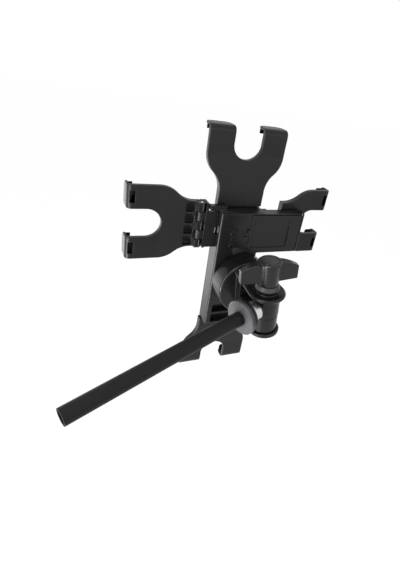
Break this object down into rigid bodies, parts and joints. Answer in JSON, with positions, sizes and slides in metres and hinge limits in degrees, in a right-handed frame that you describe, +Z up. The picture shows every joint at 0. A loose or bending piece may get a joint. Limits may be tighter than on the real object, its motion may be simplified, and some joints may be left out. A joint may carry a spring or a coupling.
{
  "type": "tablet clamp mount",
  "caption": "Black moulded tablet holder with four forked sliding arms on a hub, carried by a turntable, a tilt knuckle with wing knob and a thin arm tube.",
  "frame": {"origin": "middle of the held tablet's back, on the face of the rest pads", "axes": "+Y out of the rest pads towards the tablet's screen, +Z up along the long arms, +X to the right seen from behind the tablet"},
  "size_m": [0.246, 0.1459, 0.246],
  "materials": {
    "arm_plastic": "fine grain",
    "hub_plastic": "fine grain",
    "bracket_plastic": "satin",
    "knob_plastic": "satin",
    "ring_plastic": "smooth",
    "soft_pad": "matt",
    "tube_paint": "satin powder coat",
    "collar_plastic": "satin",
    "washer_plastic": "satin",
    "brass_bush": "turned",
    "bright_steel": "turned, zinc plated",
    "dark_screw": "blackened",
    "spring_steel": "rolled"
  },
  "bodies": {
    "arm": {"arm_tube": "tube_paint", "tube_bush": "brass_bush", "collar": "collar_plastic"},
    "swivel": {"socket_ring": "ring_plastic", "socket_stud": "bright_steel", "tilt_knuckle": "bracket_plastic"},
    "bracket": {"clevis_bracket": "bracket_plastic", "tilt_washers": "ring_plastic", "foot_cap": "bracket_plastic", "clamp_nut": "bright_steel", "turntable_ring": "ring_plastic", "pivot_washer": "bright_steel", "pivot_screw": "bright_steel"},
    "knob": {"wing_knob": "knob_plastic", "knob_cap": "knob_plastic", "dished_washer": "washer_plastic", "clamp_screw": "bright_steel"},
    "hub": {"hub_housing": "hub_plastic", "hub_cover": "hub_plastic", "cover_screws": "dark_screw", "rest_pads": "soft_pad", "plate_screws": "dark_screw", "detent_plate": "spring_steel", "long_detents": "spring_steel", "door_pin": "bright_steel"},
    "door_leaf": {"door": "hub_plastic"},
    "upper_arm": {"top_arm": "arm_plastic", "top_pads": "soft_pad"},
    "lower_arm": {"bottom_arm": "arm_plastic", "bottom_pads": "soft_pad"},
    "slider": {"left_slider": "arm_plastic", "left_hinge_pin": "bright_steel"},
    "folding_fork": {"left_fork": "arm_plastic", "left_pads": "soft_pad"},
    "right_fork": {"right_arm": "arm_plastic", "right_pads": "soft_pad"}
  },
  "joints": [
    {"name": "arm_swivel", "type": "hinge", "parent": "arm", "child": "swivel", "pos_m": [0.00621, -0.073, -0.00155], "axis": [-0.9327, -0.342, -0.1145], "continuous": true},
    {"name": "tilt", "type": "hinge", "parent": "swivel", "child": "bracket", "pos_m": [0.007, -0.073, -0.008], "axis": [-0.1219, 0, 0.9925], "range_deg": [-165, 30]},
    {"name": "turntable", "type": "hinge", "parent": "bracket", "child": "hub", "pos_m": [0.007, -0.018, -0.01], "axis": [0, 1, 0], "continuous": true},
    {"name": "knob_turn", "type": "hinge", "parent": "bracket", "child": "knob", "pos_m": [0.007, -0.073, -0.008], "axis": [-0.1219, 0, 0.9925], "continuous": true},
    {"name": "door_hinge", "type": "hinge", "parent": "hub", "child": "door_leaf", "pos_m": [0.0608, -0.0172, 0.0349], "axis": [0, 0, 1], "range_deg": [0, 95]},
    {"name": "upper_slide", "type": "slide", "parent": "hub", "child": "upper_arm", "axis": [0, 0, 1], "range_m": [-0.0008, 0.02]},
    {"name": "lower_slide", "type": "slide", "parent": "hub", "child": "lower_arm", "axis": [0, 0, -1], "range_m": [-0.0008, 0.02]},
    {"name": "left_slide", "type": "slide", "parent": "hub", "child": "slider", "axis": [-1, 0, 0], "range_m": [-0.0006, 0.02]},
    {"name": "left_fold", "type": "hinge", "parent": "slider", "child": "folding_fork", "pos_m": [-0.035, -0.0084, 0.0402], "axis": [0, 0, 1], "range_deg": [0, 90]},
    {"name": "right_slide", "type": "slide", "parent": "hub", "child": "right_fork", "axis": [1, 0, 0], "range_m": [-0.01, 0.014]}
  ]
}
